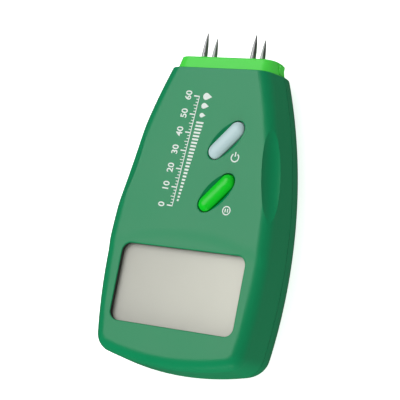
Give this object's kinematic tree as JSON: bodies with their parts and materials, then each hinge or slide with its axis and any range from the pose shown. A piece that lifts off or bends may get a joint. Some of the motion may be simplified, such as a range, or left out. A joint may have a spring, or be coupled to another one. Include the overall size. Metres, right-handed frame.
{
  "type": "moisture meter",
  "caption": "Pocket pin-type moisture meter: tapered moulded case, recessed display, slanted push keys, sharp electrodes in a pin block and a sliding battery door.",
  "frame": {"origin": "on the flat back the meter lies on, under the middle of its bounding box to within 0.3 mm", "axes": "+X to the right seen from the display side, +Y towards the electrodes, +Z out of the display"},
  "size_m": [0.0616, 0.1106, 0.0228],
  "materials": {
    "green_shell": "fine satin moulded ABS",
    "lime_plastic": "satin moulded ABS",
    "grey_key": "smooth pale grey",
    "pin_steel": "ground and polished",
    "clear_window": "clear acrylic",
    "display_glass": "reflective display behind glass",
    "dark_plastic": "black moulded",
    "silicone": "translucent silicone",
    "carbon": "carbon filled",
    "laminate": "solder mask",
    "chip_epoxy": "moulded epoxy",
    "nickel": "nickel plate",
    "zinc": "zinc plated",
    "cell_jacket": "printed cell jacket",
    "trimmer_blue": "moulded",
    "red_wire": "insulation",
    "black_wire": "insulation",
    "white_wire": "insulation"
  },
  "bodies": {
    "case": {"front_shell": "green_shell", "rear_shell": "green_shell", "pin_collar": "lime_plastic", "lcd_window": "clear_window", "lcd_bezel": "dark_plastic", "lcd_panel": "display_glass", "zebra_strip_upper": "dark_plastic", "zebra_strip_lower": "dark_plastic", "power_dome": "silicone", "hold_dome": "silicone", "main_board": "laminate", "processor_chip": "chip_epoxy", "amplifier_chip": "chip_epoxy", "filter_capacitor": "nickel", "calibration_trimmer": "trimmer_blue", "left_bus_plate": "nickel", "right_bus_plate": "nickel", "left_pin_wire": "white_wire", "right_pin_wire": "white_wire", "positive_terminal": "nickel", "negative_terminal": "nickel", "upper_link_plate": "nickel", "lower_link_plate": "nickel", "positive_lead": "red_wire", "negative_lead": "black_wire", "electrode_pin_1": "pin_steel", "pin_nut_1": "nickel", "case_screw_1": "zinc", "electrode_pin_2": "pin_steel", "pin_nut_2": "nickel", "case_screw_2": "zinc", "electrode_pin_3": "pin_steel", "pin_nut_3": "nickel", "case_screw_3": "zinc", "electrode_pin_4": "pin_steel", "pin_nut_4": "nickel", "case_screw_4": "zinc", "board_screw_1": "zinc", "battery_cell_1": "cell_jacket", "cell_spring_1": "nickel", "board_screw_2": "zinc", "battery_cell_2": "cell_jacket", "cell_spring_2": "nickel", "board_screw_3": "zinc", "battery_cell_3": "cell_jacket", "cell_spring_3": "nickel"},
    "power_key": {"power_button": "grey_key", "power_contact_pill": "carbon"},
    "hold_key": {"hold_button": "lime_plastic", "hold_contact_pill": "carbon"},
    "door": {"battery_door": "green_shell"}
  },
  "joints": [
    {"name": "power_press", "type": "slide", "parent": "case", "child": "power_key", "axis": [0, -0.0403, -0.9992], "range_m": [0, 0.001], "stiffness_N_per_m": 1800, "springref_m": -0.0003, "deforming": ["power_dome"]},
    {"name": "hold_press", "type": "slide", "parent": "case", "child": "hold_key", "axis": [0, -0.0403, -0.9992], "range_m": [0, 0.001], "stiffness_N_per_m": 1800, "springref_m": -0.0003, "deforming": ["hold_dome"]},
    {"name": "battery_door_slide", "type": "slide", "parent": "case", "child": "door", "axis": [0, -1, 0], "range_m": [0, 0.056]}
  ]
}
